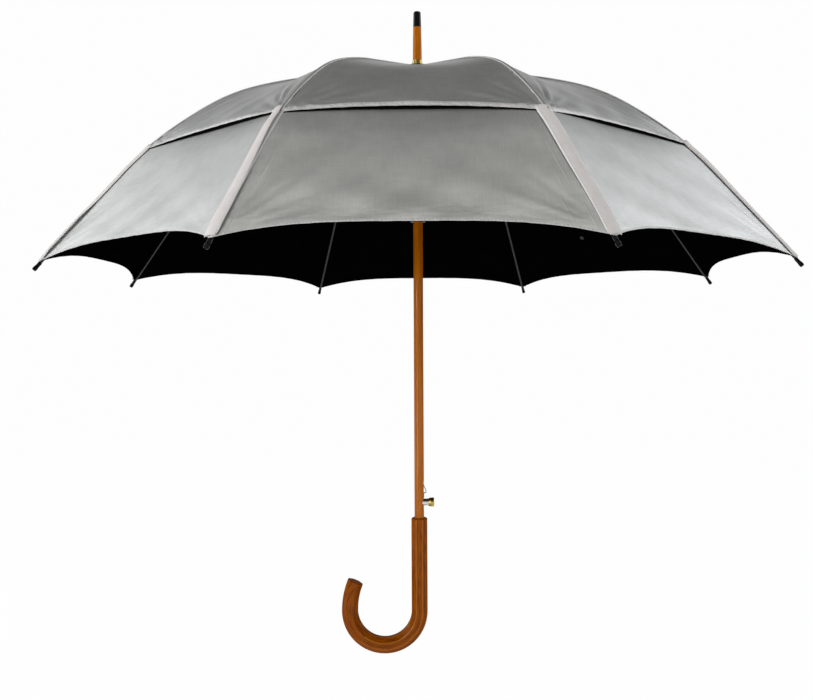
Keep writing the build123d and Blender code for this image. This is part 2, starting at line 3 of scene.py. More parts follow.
import bmesh
import bpy
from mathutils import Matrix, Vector


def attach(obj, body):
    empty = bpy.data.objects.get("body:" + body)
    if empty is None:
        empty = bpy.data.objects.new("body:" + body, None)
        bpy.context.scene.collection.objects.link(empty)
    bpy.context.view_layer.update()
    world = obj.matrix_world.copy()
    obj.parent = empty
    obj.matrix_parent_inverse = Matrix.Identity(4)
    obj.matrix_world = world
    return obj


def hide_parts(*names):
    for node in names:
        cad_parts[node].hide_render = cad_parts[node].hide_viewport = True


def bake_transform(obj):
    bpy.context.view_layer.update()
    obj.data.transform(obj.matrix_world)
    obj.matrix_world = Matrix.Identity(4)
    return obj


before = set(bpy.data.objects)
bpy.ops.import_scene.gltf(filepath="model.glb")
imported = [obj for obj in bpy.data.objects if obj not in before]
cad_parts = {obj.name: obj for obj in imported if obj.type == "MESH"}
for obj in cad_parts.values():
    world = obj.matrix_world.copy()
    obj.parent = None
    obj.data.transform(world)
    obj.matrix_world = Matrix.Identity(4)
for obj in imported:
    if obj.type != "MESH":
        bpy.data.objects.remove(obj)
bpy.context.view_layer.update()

# ------------------------------------------------------------------ sizes of the umbrella, in metres
RIBS = 8
HALF = pi / RIBS                  # half the angle between two ribs
NOTCH_RADIUS, NOTCH_HEIGHT = 0.0115, 0.781542
INNER_SLOPE, OUTER_SLOPE = radians(11.0), radians(49.2)
INNER_LENGTH, BEND_RADIUS = 0.163, 0.485
BEND_END = INNER_LENGTH + BEND_RADIUS * (OUTER_SLOPE - INNER_SLOPE)
CLOTH_LIFT = 0.0031               # rib line to the lower cloth
VENT_LIFT = 0.0042                # rib line to the upper cloth
RIDGE = 0.30                      # fall of the cloth beside a rib
CROWN_START = -0.0031             # distances along a rib from the notch's hinge
LOWER_START = 0.341
VENT_CORNER = 0.4405
CLOTH_CORNER = 0.6552
RIM_BOW = 0.027                   # how far a hem draws back midway between two ribs
VENT_BOW = 0.0185
STRAP_WIDTH = 0.0185
VENT_SEAM_WIDTH, LOWER_SEAM_WIDTH = 0.0066, 0.0092
CLOTH_THICKNESS = 0.0006
HEM_RIPPLE, SEAM_PUCKER = 0.00025, 0.00045
FOLD_REACH = 0.075                # how far the creases run from a panel's corners
HANDLE_BEND = -0.0695
HOOK_RADIUS = 0.055
HANDLE_EDGE = 0.0133              # middle of the handle to the edge between two of its flats


# ------------------------------------------------------------------ finishes
class Amount:
    """A number that varies over a surface. Sums on it add the Math nodes."""

    def __init__(self, tree, socket):
        self.tree, self.socket = tree, socket

    def maths(self, operation, *values):
        node = self.tree.nodes.new("ShaderNodeMath")
        node.operation = operation
        for socket, value in zip(node.inputs, values):
            connect(self.tree, socket, value)
        return Amount(self.tree, node.outputs[0])

    def __add__(self, other):
        return self.maths("ADD", self, other)

    def __sub__(self, other):
        return self.maths("SUBTRACT", self, other)

    def __rsub__(self, other):
        return self.maths("SUBTRACT", other, self)

    def __mul__(self, other):
        return self.maths("MULTIPLY", self, other)

    __radd__ = __add__
    __rmul__ = __mul__

    def root(self):
        return self.maths("SQRT", self)

    def wave(self, length):
        """1 to -1 and back over each length."""
        turns = self * (2 * pi / length)
        return turns.maths("SINE", turns)

    def size(self):
        return self.maths("ABSOLUTE", self)


def connect(tree, socket, value):
    """Plug a link, an amount or a plain value into a socket."""
    if isinstance(value, Amount):
        tree.links.new(value.socket, socket)
    elif isinstance(value, bpy.types.NodeSocket):
        tree.links.new(value, socket)
    else:
        socket.default_value = value


class Finish:
    """A surface finish: one Principled shader and what feeds it."""

    def __init__(self, name, **settings):
        self.material = bpy.data.materials.new(name)
        self.material.use_nodes = True
        self.tree = self.material.node_tree
        self.shader = self.tree.nodes["Principled BSDF"]
        self.output = self.tree.nodes["Material Output"]
        for socket, value in settings.items():
            self.feed(socket.replace("_", " "), value)

    def feed(self, socket, value):
        connect(self.tree, self.shader.inputs[socket], value)

    def node(self, kind, settings=None, **inputs):
        """Any other node: its settings first, then the values or links of its sockets."""
        node = self.tree.nodes.new("ShaderNode" + kind)
        for key, value in (settings or {}).items():
            if key == "stops":
                ramp = node.color_ramp.elements
                while len(ramp) < len(value):
                    ramp.new(0.5)
                for stop, (place, colour) in zip(ramp, value):
                    stop.position, stop.color = place, colour
            else:
                setattr(node, key, value)
        for key, value in inputs.items():
            place = int(key[1:]) if key[0] == "i" and key[1:].isdigit() else key.replace("_", " ")
            connect(self.tree, node.inputs[place], value)
        return node

    def number(self, kind, settings=None, output=0, **inputs):
        return Amount(self.tree, self.node(kind, settings, **inputs).outputs[output])

    def place(self):
        """Object coordinates as three amounts."""
        split = self.node("SeparateXYZ", Vector=self.node("TexCoord").outputs["Object"])
        return [Amount(self.tree, s) for s in split.outputs]

    def cut(self):
        """Distances across and along the cloth, in metres."""
        split = self.node("SeparateXYZ", Vector=self.node("UVMap", {"uv_map": "Cut"}).outputs[0])
        return [Amount(self.tree, s) for s in split.outputs][:2]

    def measure(self, name):
        return self.number("Attribute", {"attribute_name": name}, output=2)

    def point(self, x, y, z):
        return self.node("CombineXYZ", X=x, Y=y, Z=z).outputs[0]

    def noise(self, where, scale, detail=3.0, roughness=0.5):
        return self.number("TexNoise", Vector=where, Scale=scale, Detail=detail, Roughness=roughness)

    def step(self, value, start, end):
        """0 below start, 1 above end and smooth between them."""
        return self.number(
            "MapRange", {"interpolation_type": "SMOOTHSTEP"}, Value=value, From_Min=start, From_Max=end,
        )

    def mix(self, share, first, second):
        node = self.node("Mix", {"data_type": "RGBA"}, i0=share, i6=first, i7=second)
        return node.outputs[2]

    def bump(self, height, distance, strength=1.0):
        bump = self.node("Bump", Height=height, Distance=distance, Strength=strength)
        self.feed("Normal", bump.outputs[0])


def silver_cloth():
    """Silver-coated satin weave: uneven threads, small creases, a gathered hem and seam edges, with a
    painted highlight along the seams and painted sheen on the seam puckers and the hem's gathers.
    """
    f = Finish("silver cloth", Roughness=0.42, Metallic=0.88)
    across, along = f.cut()
    flat = f.point(across, along, 0.0)
    hem = f.measure("from_hem")
    seam = f.measure("from_seam")
    hem_width = f.measure("hem_width")
    clouds = f.noise(flat, 9.0, 3.0, 0.5)
    blotches = f.noise(flat, 55.0, 4.0, 0.6)
    threads = f.noise(f.point(across, along * 0.05, 0.0), 620.0, 2.0)
    threads = threads + f.noise(f.point(across * 0.05, along, 0.0), 620.0, 2.0)
    grit = f.noise(flat, 820.0, 2.0, 0.7)
    flecks = f.step(f.noise(flat, 330.0, 3.0, 0.7), 0.69, 0.74)
    turned = 1.0 - f.step(hem - hem_width, -0.0006, 0.0012)
    # Gathers of the turned hem: they give its bump and also carry its painted sheen.
    gathers = f.noise(f.point(across + hem * 0.6, hem * 0.25, 0.0), 330.0, 3.0, 0.6)
    stitch = 1.0 - f.step((hem - hem_width + 0.0004).size(), 0.0003, 0.0008)
    stitch = stitch * f.step(across.wave(0.0042), -0.2, 0.3)
    # Painted highlight: a pale line along each seam.
    edge = 1.0 - f.step(seam, 0.0015, 0.006)
    # Puckers beside the seams: a real bump, and a paler colour on them that is painted sheen.
    pulls_and_sheen = f.step(f.noise(f.point(seam, along * 0.022, 0.0), 230.0, 2.0), 0.56, 0.72)
    pulls_and_sheen = pulls_and_sheen * f.step(seam, 0.006, 0.012) * (1.0 - f.step(seam, 0.016, 0.055))
    tone = clouds * 0.45 + blotches * 0.4 + threads * 0.3 + grit * 0.55 - 0.5
    colour = f.mix(tone, (0.37, 0.373, 0.366, 1), (0.70, 0.703, 0.695, 1))
    # Pale flecks of the weave, plus the painted seam highlight and the painted sheen on the puckers.
    colour = f.mix(flecks * 0.5 + edge * 0.15 + pulls_and_sheen * 0.16, colour, (0.85, 0.85, 0.84, 1))
    # Painted sheen: the gathers of the turned hem are made paler where they catch the light.
    colour = f.mix(turned * f.step(gathers, 0.35, 0.62) * 0.7, colour, (0.80, 0.775, 0.765, 1))
    colour = f.mix(stitch * 0.6, colour, (0.36, 0.355, 0.35, 1))
    f.feed("Base Color", colour)
    f.feed("Metallic", 0.88 - turned * 0.6)
    f.feed("Roughness", 0.36 + clouds * 0.12 + turned * 0.08)
    near_hem = 1.0 - f.step(hem, 0.006, 0.045)
    creases = f.noise(f.point(across, along * 1.6, 0.0), 85.0, 2.0, 0.5)
    height = clouds * 0.5 + creases * (0.08 + near_hem * 0.3)
    height = height + turned * (0.25 + gathers * 0.5) + pulls_and_sheen * 0.15 - stitch * 0.3
    f.bump(height, 0.0016, 0.6)
    return f.material


def black_lining():
    """The dark side of the cloth."""
    f = Finish("black lining", Roughness=0.95, Specular_IOR_Level=0.0)
    across, along = f.cut()
    threads = across.wave(0.0007) * 0.5 + along.wave(0.0009) * 0.5
    blotch = f.noise(f.point(across, along, 0.0), 30.0, 3.0)
    f.feed("Base Color", f.mix(blotch, (0.0008, 0.0008, 0.0009, 1), (0.0022, 0.0022, 0.0024, 1)))
    f.bump(threads, 0.0002, 0.4)
    return f.material


def vent_gap_shade():
    """Painted shade: a black sheet with a netting weave, laid on the lower cloth behind the upper hem,
    where the gap between the two tiers lies in shade.
    """
    f = Finish("vent gap shade", Roughness=0.9, Specular_IOR_Level=0.1)
    across, along = f.cut()
    mesh = f.step(across.wave(0.003) * along.wave(0.003), -0.1, 0.3)
    f.feed("Base Color", f.mix(mesh, (0.002, 0.002, 0.002, 1), (0.009, 0.009, 0.009, 1)))
    f.bump(mesh, 0.0004, 0.6)
    return f.material


def ribbon():
    """Pale grosgrain ribbon with a woven edge, painted paler as a highlight along its sides, and stitching
    beside it.
    """
    f = Finish("pale ribbon", Roughness=0.62, Specular_IOR_Level=0.3, Sheen_Weight=0.15)
    across, along = f.cut()
    ribs = along.wave(0.0024)
    side = across.size()
    selvedge_and_highlight = f.step(side, 0.0078, 0.0084)
    stitch = 1.0 - f.step((side - 0.0072).size(), 0.0002, 0.0006)
    stitch = stitch * f.step(along.wave(0.0046), -0.2, 0.2)
    soil = f.noise(f.point(across * 2.0, along, 0.0), 60.0, 4.0)
    colour = f.mix(soil + ribs * 0.06, (0.70, 0.655, 0.645, 1), (0.86, 0.82, 0.81, 1))
    # Woven edge made paler: a painted highlight along the ribbon's sides.
    colour = f.mix(selvedge_and_highlight * 0.6, colour, (0.93, 0.92, 0.915, 1))
    colour = f.mix(stitch * 0.45, colour, (0.50, 0.465, 0.46, 1))
    f.feed("Base Color", colour)
    f.bump(ribs * 0.12 + selvedge_and_highlight * 0.6 - stitch * 0.5, 0.0004, 0.6)
    return f.material


def piping(name, flat_half, dull):
    """Folded cloth of the seams, dull in its middle, with a painted highlight on the folds beside it."""
    f = Finish(name, Roughness=0.5, Metallic=0.2)
    across, along = f.cut()
    # Painted highlight: the folds beside the middle are made pale.
    fold = f.step(across.size(), flat_half, flat_half + 0.0006)
    pull = f.noise(f.point(across, along * 3.0, 0.0), 90.0, 3.0)
    f.feed("Base Color", f.mix(fold * 0.8 + pull * 0.2, (dull, dull, dull, 1), (0.84, 0.83, 0.825, 1)))
    f.bump(pull + along.wave(0.004) * 0.2, 0.0004, 0.5)
    return f.material


def bent_grain(f, scale, stretch):
    """Broad and fine grain along the grip and then the crook, and the distance from their middle."""
    x, y, z = f.place()
    down = HANDLE_BEND - z
    out = x + HOOK_RADIUS
    below = f.step(down, -0.0001, 0.0001)
    bent = below.maths("MAXIMUM", below, f.step(0.0 - out, 0.0, 0.0001))
    reach = (out * out + down * down).root()
    turn = out.maths("ARCTAN2", 0.0 - down, 0.0 - out) + pi
    side = x * (1.0 - bent) + (reach - HOOK_RADIUS) * bent
    run = (0.0 - z) * (1.0 - bent) + (turn * HOOK_RADIUS - HANDLE_BEND) * bent
    where = f.point(side * stretch, y * stretch, run)
    fine = f.noise(f.point(side, y, run * 0.10), 480.0, 3.0)
    # The crook ends in a wider bend than this path has, so the distance is drawn in before it.
    middle = (side * side + y * y).root() - f.step(turn, 2.2, 2.9) * bent * 0.008
    return f.noise(where, scale, 5.0, 0.65), fine, middle


def handle_wood():
    """Dark brown stained wood under a satin varnish, with the grain along the bend and a painted highlight
    along the edges between its flats.
    """
    f = Finish(
        "handle wood", Coat_Weight=0.05, Coat_IOR=2.2, Coat_Roughness=0.11, Roughness=0.45,
        Specular_IOR_Level=0.0,
    )
    broad, fine, middle = bent_grain(f, 14.0, 30.0)
    tone = f.step(broad * 0.5 + fine * 0.5, 0.36, 0.64)
    colour = f.mix(tone, (0.18, 0.039, 0.001, 1), (0.41, 0.097, 0.002, 1))
    pores = f.step(fine, 0.60, 0.74)
    colour = f.mix(pores * 0.5, colour, (0.09, 0.017, 0.001, 1))
    # Painted highlight: a pale line along the edges between the handle's flats.
    edges = f.step(middle, HANDLE_EDGE - 0.00027, HANDLE_EDGE - 0.00007)
    f.feed("Base Color", f.mix(edges * 0.38, colour, (0.66, 0.24, 0.03, 1)))
    f.feed("Roughness", 0.34 + fine * 0.14)
    f.bump(broad * 0.3 - pores * 0.5, 0.0003, 0.5)
    return f.material


def shaft_wood():
    """Golden brown varnished wood, straight grained."""
    f = Finish(
        "shaft wood", Coat_Weight=0.12, Coat_IOR=2.4, Coat_Roughness=0.12, Roughness=0.40,
        Specular_IOR_Level=0.0,
    )
    x, y, z = f.place()
    broad = f.noise(f.point(x * 40.0, y * 40.0, z), 9.0, 4.0, 0.6)
    fine = f.noise(f.point(x, y, z * 0.05), 420.0, 3.0)
    tone = f.step(broad * 0.6 + fine * 0.4, 0.30, 0.70)
    colour = f.mix(tone, (0.42, 0.106, 0.001, 1), (0.66, 0.185, 0.002, 1))
    streaks = f.step(fine, 0.58, 0.70)
    f.feed("Base Color", f.mix(streaks * 0.45, colour, (0.25, 0.050, 0.002, 1)))
    f.feed("Roughness", 0.36 + fine * 0.16)
    f.bump(fine * 0.4 + broad * 0.2, 0.0002, 0.4)
    return f.material


def turned_brass(axis):
    """Lacquered brass with fine turning marks along an axis."""
    f = Finish("turned brass " + "xyz"[axis], Metallic=1.0, Roughness=0.24)
    place = f.place()
    marks = f.noise(f.point(place[axis], 0.0, 0.0), 2600.0, 2.0)
    tarnish = f.noise(f.node("TexCoord").outputs["Object"], 160.0, 4.0, 0.6)
    dark = f.step(tarnish, 0.48, 0.70)
    f.feed("Base Color", f.mix(dark, (0.50, 0.37, 0.085, 1), (0.24, 0.18, 0.04, 1)))
    f.feed("Roughness", 0.20 + marks * 0.12 + dark * 0.16)
    f.bump(marks, 0.00008, 0.5)
    return f.material


def drawn_steel(name, colour, rough, worn):
    """Steel strip or wire: faint drawing marks, dull spots and brighter worn places."""
    f = Finish(name, Metallic=1.0, Roughness=rough)
    where = f.node("TexCoord").outputs["Object"]
    spots = f.noise(where, 220.0, 4.0, 0.6)
    marks = f.noise(where, 1400.0, 2.0)
    bright = tuple(min(1.0, c * worn) for c in colour)
    f.feed("Base Color", f.mix(f.step(spots, 0.40, 0.68), (*colour, 1), (*bright, 1)))
    f.feed("Roughness", rough + spots * 0.14 - marks * 0.05)
    f.bump(marks, 0.00006, 0.4)
    return f.material


def moulded_black(name, rough, grain, shine=0.5):
    """Black moulded plastic with a fine skin and faint scuffs."""
    f = Finish(name, Roughness=rough, Specular_IOR_Level=shine)
    where = f.node("TexCoord").outputs["Object"]
    skin = f.noise(where, 1800.0, 2.0)
    scuff = f.step(f.noise(where, 130.0, 5.0, 0.7), 0.60, 0.74)
    f.feed("Base Color", f.mix(scuff * 0.5, (0.0035, 0.0035, 0.004, 1), (0.016, 0.016, 0.017, 1)))
    f.feed("Roughness", rough + scuff * 0.2 + skin * 0.05)
    f.bump(skin, 0.00012, grain)
    return f.material


SILVER, LINING, GAP_SHADE, RIBBON = silver_cloth(), black_lining(), vent_gap_shade(), ribbon()
SEAM, SEAM_TAPE = piping("seam fold", 0.0023, 0.24), piping("seam tape", 0.0036, 0.55)
RIB_STEEL = drawn_steel("rib steel", (0.036, 0.037, 0.038), 0.42, 1.5)
DULL_STEEL = drawn_steel("dull steel", (0.085, 0.088, 0.075), 0.34, 1.3)
BRIGHT_STEEL = drawn_steel("bright steel", (0.58, 0.575, 0.56), 0.24, 1.2)
BLACK_PLASTIC = moulded_black("black plastic", 0.42, 0.6)
BLACK_GLOSS = moulded_black("black gloss", 0.18, 0.06, 0.06)
FERRULE_BLACK = moulded_black("ferrule black", 0.24, 0.25, 0.2)

NODE_FINISHES = {
    "handle": handle_wood(),
    "shaft": shaft_wood(),
    "ferrule_tip": FERRULE_BLACK,
    "ferrule_collar": turned_brass(2),
    "release_button": turned_brass(0),
    "crown_washer": BLACK_PLASTIC,
    "top_notch": BLACK_PLASTIC,
    "runner": BLACK_PLASTIC,
    "lower_runner": BLACK_PLASTIC,
    "rib_tip": BLACK_GLOSS,
    "catch": DULL_STEEL,
    "catch_pin": DULL_STEEL,
    "rib": RIB_STEEL,
    "stretcher": RIB_STEEL,
    "strut": RIB_STEEL,
}
for name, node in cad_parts.items():
    family = name.rstrip("0123456789").rstrip("_")
    node.data.materials.clear()
    node.data.materials.append(NODE_FINISHES.get(family, BRIGHT_STEEL))
    for face in node.data.polygons:
        face.material_index = 0


# ------------------------------------------------------------------ places on the canopy
def rib_turn(index):
    """Azimuth of a rib, counted round from the front right one."""
    return -pi / 2 + HALF + (index - 1) * 2 * HALF


def smooth(value, start, end):
    """0 before start, 1 after end and an eased rise between them."""
    share = min(max((value - start) / (end - start), 0.0), 1.0)
    return share * share * (3 - 2 * share)


def rib_slope(distance):
    """Angle below the level at a distance along a rib from its hinge."""
    return INNER_SLOPE + min(max((distance - INNER_LENGTH) / BEND_RADIUS, 0.0), OUTER_SLOPE - INNER_SLOPE)


def rib_line(distance):
    """Radius and height of a rib's line: straight, a bend and straight again."""
    slope, beyond = rib_slope(distance), max(distance - BEND_END, 0.0)
    straight = min(distance, INNER_LENGTH)
    run = straight * cos(INNER_SLOPE) + beyond * cos(OUTER_SLOPE)
    run += BEND_RADIUS * (sin(slope) - sin(INNER_SLOPE))
    drop = straight * sin(INNER_SLOPE) + beyond * sin(OUTER_SLOPE)
    drop += BEND_RADIUS * (cos(INNER_SLOPE) - cos(slope))
    return NOTCH_RADIUS + run, NOTCH_HEIGHT - drop


def on_rib(index, distance, lift):
    """Point at a distance along a rib and a lift above its line."""
    (out, up), slope, turn = rib_line(distance), rib_slope(distance), rib_turn(index)
    out += lift * sin(slope)
    return Vector((out * cos(turn), out * sin(turn), up + lift * cos(slope)))


def outward(index, across, distance):
    """Direction that faces away from the umbrella, part of the way between two ribs."""
    turn, slope = rib_turn(index) + 2 * HALF * across, rib_slope(distance)
    return Vector((sin(slope) * cos(turn), sin(slope) * sin(turn), cos(slope)))


def lower_hem(across):
    """Distance at which the lower cloth ends: nearly straight, then out to its corners."""
    return CLOTH_CORNER - RIM_BOW * (1 - abs(2 * across - 1) ** 3.3)


def vent_hem(across):
    """Distance at which the upper cloth ends."""
    return VENT_CORNER - VENT_BOW * (1 - abs(2 * across - 1) ** 2.2)


def lower_sag(distance):
    """How far the lower cloth draws in midway between two ribs."""
    share = min(max((distance - LOWER_START) / (CLOTH_CORNER - LOWER_START), 0.0), 1.0)
    return 0.0020 + 0.0078 * (1 - share) ** 1.5


def vent_sag(distance):
    """How far the upper cloth draws in midway between two ribs."""
    return 0.0098 * smooth(distance, 0.015, 0.19) * (1 - 0.7 * smooth(distance, 0.20, 0.42))


def vent_lift(distance):
    """The upper cloth rides higher where it is drawn over the bend of the ribs."""
    return VENT_LIFT + 0.0032 * exp(-(((distance - 0.285) / 0.06) ** 2))


def ripple(across, seed):
    """Uneven gathers along a hem, from -1 to 1."""
    phase = seed * 1.7
    return (
        sin(across * 97 + phase) * 0.45
        + sin(across * 61 + 2.1 * phase) * 0.35
        + sin(across * 151 + 0.6 * phase) * 0.20
    )


def corner_folds(across, down, span, seed):
    """Creases that fan out from the two lower corners of a panel."""
    total = 0.0
    for side, share in ((0, across), (1, 1 - across)):
        run = hypot(share * span, down)
        fan = atan2(share * span, down + 1e-4)
        fold = sin(fan * 19 + seed * 1.3 + side) * 0.6 + sin(fan * 31 + seed + 2 * side) * 0.4
        fade = exp(-((run / FOLD_REACH) ** 1.5)) * min(1.0, run / 0.012) * min(1.0, share * span / 0.006)
        total += fold * fade
    return total


def billow(across, down, seed):
    """Broad soft waves of the cloth above a hem."""
    wave = sin(across * 15 + down * 75 + seed * 2.3) * 0.55 + sin(across * 27 - down * 60 + seed) * 0.45
    return wave * exp(-down / 0.06) * (1 - exp(-down / 0.014))


def seam_puckers(share_width, distance, seed):
    """Short gathers that run out from a seam."""
    along = sin(distance * 430 + seed) * 0.6 + sin(distance * 710 + 2.3 * seed) * 0.4
    return along * exp(-share_width / 0.010) * min(1.0, share_width / 0.002)


def build(name, shape):
    """Turn a finished bmesh into an object of the scene."""
    mesh = bpy.data.meshes.new(name)
    shape.to_mesh(mesh)
    shape.free()
    piece = bpy.data.objects.new(name, mesh)
    bpy.context.scene.collection.objects.link(piece)
    return piece


def grid(name, steps):
    """A flat square of cloth from 0 to 1 both ways, facing outwards."""
    shape = bmesh.new()
    shape.loops.layers.uv.new("Cut")
    bmesh.ops.create_grid(shape, x_segments=steps[0], y_segments=steps[1], size=0.5)
    bmesh.ops.translate(shape, vec=(0.5, 0.5, 0), verts=shape.verts)
    bmesh.ops.reverse_faces(shape, faces=shape.faces)
    for face in shape.faces:
        face.smooth = True
    return build(name, shape)


def place(piece, spots, cut):
    """Move a grid's corners to their spots and lay out its flat pattern."""
    for vert, spot in zip(piece.data.vertices, spots):
        vert.co = spot
    flat = piece.data.uv_layers["Cut"].data
    for loop in piece.data.loops:
        flat[loop.index].uv = cut[loop.vertex_index]
    piece.data.update()


def span_ribs(piece):
    """Set a grid's columns where a blend that eases in and out would give each its even share, bake its
    transform, then put the columns back.
    """
    shares = [vert.co.x for vert in piece.data.vertices]
    for vert, share in zip(piece.data.vertices, shares):
        vert.co.x = 0.5 - sin(asin(1 - 2 * min(max(share, 0.0), 1.0)) / 3)
    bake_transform(piece)
    for vert, share in zip(piece.data.vertices, shares):
        vert.co.x = share


def cloth_panel(name, index, steps, line, hem, lift, sag, ease, pucker, hem_width):
    """One gore of cloth between two ribs, with its hem, seams and corner creases."""
    piece = grid(name, steps)
    span_ribs(piece)
    mesh = piece.data
    keys = "from_hem", "from_seam", "hem_width"
    notes = {key: mesh.attributes.new(key, "FLOAT", "POINT") for key in keys}
    spots, cut = [], []
    span = 2 * rib_line(hem(0))[0] * sin(HALF)
    for vert in mesh.vertices:
        across, down = vert.co.x, vert.co.y
        distance = line(across, down)
        to_hem = hem(across) - distance
        width = 2 * rib_line(distance)[0] * sin(HALF)
        middle = 4 * across * (1 - across)
        beside = min(across, 1 - across) * width
        inward = sag(distance) * middle
        inward -= ripple(across, index) * HEM_RIPPLE * exp(-to_hem / 0.012) * min(1.0, middle * 4)
        inward -= billow(across, to_hem, index) * ease * min(1.0, middle * 3)
        inward -= corner_folds(across, to_hem, span, index) * pucker
        inward -= seam_puckers(beside, distance, index + (across > 0.5)) * SEAM_PUCKER
        first, second = (on_rib(k, distance, lift(distance)) for k in (index, index + 1))
        spots.append(first.lerp(second, across) - outward(index, across, distance) * inward)
        cut.append(((across - 0.5) * width, distance))
        for key, value in zip(keys, (to_hem, beside, hem_width)):
            notes[key].data[vert.index].value = value
    place(piece, spots, cut)
    hem(0) - line(0, 0)
    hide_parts(f"canopy_panel_{index}")
    return piece


def lay_thickness(piece, thickness, *finishes):
    """Give a sheet its thickness, with its underside in the second finish."""
    for finish in finishes:
        piece.data.materials.append(finish)
    solid = piece.modifiers.new("thickness", "SOLIDIFY")
    solid.thickness = thickness
    solid.offset = -1
    solid.material_offset = 1 if len(finishes) > 1 else 0


def strip(name, index, start, stop, rows, at, finish, thickness):
    """A narrow strip along a rib.

    The section at a place gives its shift, half width, lift, twist and how far it hugs the ridge.
    """
    piece = grid(name, (8, rows))
    turn = rib_turn(index)
    side = Vector((-sin(turn), cos(turn), 0))
    spots, cut = [], []
    for vert in piece.data.vertices:
        share, down = vert.co.x * 2 - 1, vert.co.y
        distance = start + (stop - start) * down
        shift, half, lift, twist, hug = at(distance, down)
        lift += half * (abs(twist) + twist * share - share**2 * RIDGE * hug)
        spots.append(on_rib(index, distance, lift) + side * (shift + share * half))
        cut.append((share * half, distance))
    place(piece, spots, cut)
    lay_thickness(piece, thickness, finish)
    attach(piece, f"rib_{index}")
    return piece


# ------------------------------------------------------------------ canopy
# The first rows of the lower cloth, under the upper hem, carry the painted shade of the gap.
GAP_SHADE_ROWS, LOWER_ROWS, COLUMNS = 12, 52, 80
GAP_SHADE_SHARE = GAP_SHADE_ROWS / LOWER_ROWS


def lower_place(across, down):
    """Rows of the lower cloth: the painted shade of the gap up to the line of the vent's hem, then silver
    cloth.
    """
    edge = vent_hem(across) + 0.0005
    if down <= GAP_SHADE_SHARE:
        return LOWER_START + (edge - LOWER_START) * down / GAP_SHADE_SHARE
    share = (down - GAP_SHADE_SHARE) / (1 - GAP_SHADE_SHARE)
    return edge + (lower_hem(across) - edge) * share**0.85


def vent_place(across, down):
    """Rows of the upper cloth, from the crown to its hem."""
    return CROWN_START + (vent_hem(across) - CROWN_START) * down**0.85


def lower_lift(distance):
    """The lower cloth follows the ribs all the way."""
    return CLOTH_LIFT


# How each strap lies; strap_section says what the words mean.
STRAP_MOODS = {
    1: dict(shift=-0.0040, twist=0.05, foot=0.0016, top=1.10, slack=0.15),
    2: dict(twist=0.25),
    3: dict(shift=0.0006, twist=0.06, slack=0.2),
    4: dict(shift=-0.0008, twist=-0.05),
    5: dict(shift=0.0006, twist=0.04, foot=0.0004, slack=0.2),
    6: dict(shift=-0.0004, twist=0.06),
    7: dict(twist=-0.14, slack=0.6, slack_from=0.45),
    8: dict(shift=-0.0046, twist=0.30, foot=-0.0008, top=0.70, slack=0.3),
}


def strap_section(down, shift=0.0, twist=0.0, foot=0.0, top=1.0, slack=0.1, slack_from=-0.25):
    """Section of a strap, down it from 0 to 1.

    shift and foot move its top and its foot sideways, twist lifts one side, top is the share of the
    full width that its top has, and slack lifts it off the ridge from slack_from on.
    """
    hold = 1 - smooth(down, 0.0, 0.85)
    width = STRAP_WIDTH * (1 + (top - 1) * (1 - smooth(down, 0.0, 0.95)))
    width *= 1 - 0.25 * smooth(down, 0.965, 1.0)
    free = slack * smooth(down, 0.02, 0.15) * (1 - smooth(down, 0.88, 1.0))
    free *= smooth(down, slack_from, slack_from + 0.25)
    lift = CLOTH_LIFT + 0.0010 + 0.0022 * free + 0.0012 * (1 - smooth(down, 0.0, 0.06))
    turned = twist * (0.45 + 0.55 * hold)
    return shift * hold + foot * smooth(down, 0.4, 0.8), width / 2, lift, turned, 1 - free


def vent_seam_section(distance, down):
    return 0.0, VENT_SEAM_WIDTH / 2, vent_lift(distance) + 0.0010, 0.0, 1.0


def lower_seam_section(distance, down):
    return 0.0, LOWER_SEAM_WIDTH / 2, CLOTH_LIFT + 0.0005, 0.0, 1.0


strap_top, strap_end = VENT_CORNER - 0.010, 0.6530

for index in range(1, RIBS + 1):
    lower = cloth_panel(
        f"lower_cloth_{index}", index, (COLUMNS, LOWER_ROWS), lower_place, lower_hem, lower_lift, lower_sag,
        ease=0.0013, pucker=0.0005, hem_width=0.0024,
    )
    lay_thickness(lower, CLOTH_THICKNESS, SILVER, LINING, GAP_SHADE)
    # Faces up to the line of the vent's hem take the painted shade; the rest are silver cloth.
    for face in lower.data.polygons:
        rows = [vert // (COLUMNS + 1) for vert in face.vertices]
        face.material_index = 2 if max(rows) <= GAP_SHADE_ROWS else 0
    upper = cloth_panel(
        f"vent_cloth_{index}", index, (COLUMNS, 64), vent_place, vent_hem, vent_lift, vent_sag,
        ease=0.0016, pucker=0.0022, hem_width=0.0095,
    )
    lay_thickness(upper, CLOTH_THICKNESS, SILVER, LINING)

    def this_strap(distance, down):
        return strap_section(down, **STRAP_MOODS[index])

    strap = strip(
        f"strap_{index}", index, strap_top, strap_end, rows=48, at=this_strap, finish=RIBBON,
        thickness=0.0007,
    )
    strip(
        f"vent_seam_{index}", index, 0.004, VENT_CORNER - 0.003, rows=60, at=vent_seam_section,
        finish=SEAM, thickness=0.0008,
    )
    strip(
        f"lower_seam_{index}", index, VENT_CORNER - 0.006, 0.652, rows=40, at=lower_seam_section,
        finish=SEAM_TAPE, thickness=0.0004,
    )

# ------------------------------------------------------------------ closing band
TIE_PANEL, TIE_SHARE = 3, 0.515
TIE_FOOT, TIE_LENGTH, TIE_WIDTH = 0.549, 0.075, 0.018
STUD_RADIUS, STUD_FLATNESS = 0.0042, 0.42


